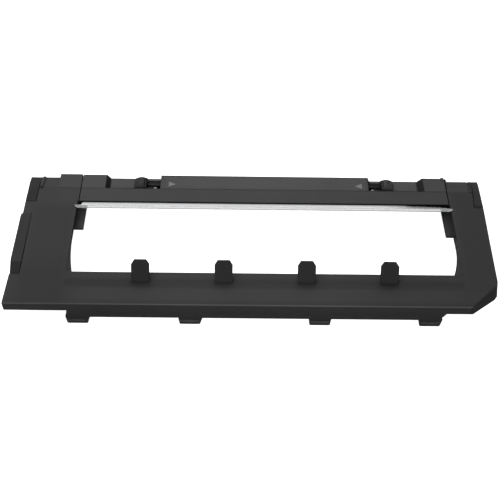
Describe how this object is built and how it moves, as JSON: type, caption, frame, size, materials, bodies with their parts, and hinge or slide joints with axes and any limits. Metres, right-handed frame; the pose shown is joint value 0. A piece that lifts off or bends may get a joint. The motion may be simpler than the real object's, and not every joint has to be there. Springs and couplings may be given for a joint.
{
  "type": "robot vacuum brush cover",
  "caption": "Flat moulded cover frame with a long brush opening, guard teeth, front snap hooks, a clear scraper strip and two sliding spring latches.",
  "frame": {"origin": "centre of the cover's footprint, on the level of the hooks' lowest tips", "axes": "+X along the opening towards the cut-off corner, +Y towards the latch rail, +Z out of the outer face, which faces the floor in use"},
  "size_m": [0.229, 0.0822, 0.0236],
  "materials": {
    "frame_plastic": "fine moulded texture, black",
    "cover_plastic": "smooth moulded, black, slightly satin",
    "latch_plastic": "moulded acetal, black, satin",
    "clear_strip": "clear flexible plastic with fine flutes",
    "clamp_steel": "rolled stainless strip",
    "screw_steel": "zinc plated",
    "spring_steel": "drawn wire, dark",
    "pin_steel": "polished wire"
  },
  "bodies": {
    "frame": {"main_frame": "frame_plastic", "rail_cover": "cover_plastic", "scraper_strip": "clear_strip", "strip_clamp": "clamp_steel", "clamp_screws": "screw_steel", "rail_screws": "screw_steel", "guide_pin_left": "pin_steel", "guide_pin_right": "pin_steel", "spring_left": "spring_steel", "spring_right": "spring_steel"},
    "left_latch": {"latch_left": "latch_plastic"},
    "right_latch": {"latch_right": "latch_plastic"}
  },
  "joints": [
    {"name": "left_latch_slide", "type": "slide", "parent": "frame", "child": "left_latch", "axis": [1, 0, 0], "range_m": [0, 0.003], "stiffness_N_per_m": 100, "springref_m": -0.004, "deforming": ["spring_left"]},
    {"name": "right_latch_slide", "type": "slide", "parent": "frame", "child": "right_latch", "axis": [-1, 0, 0], "range_m": [0, 0.003], "stiffness_N_per_m": 100, "springref_m": -0.004, "deforming": ["spring_right"]}
  ]
}
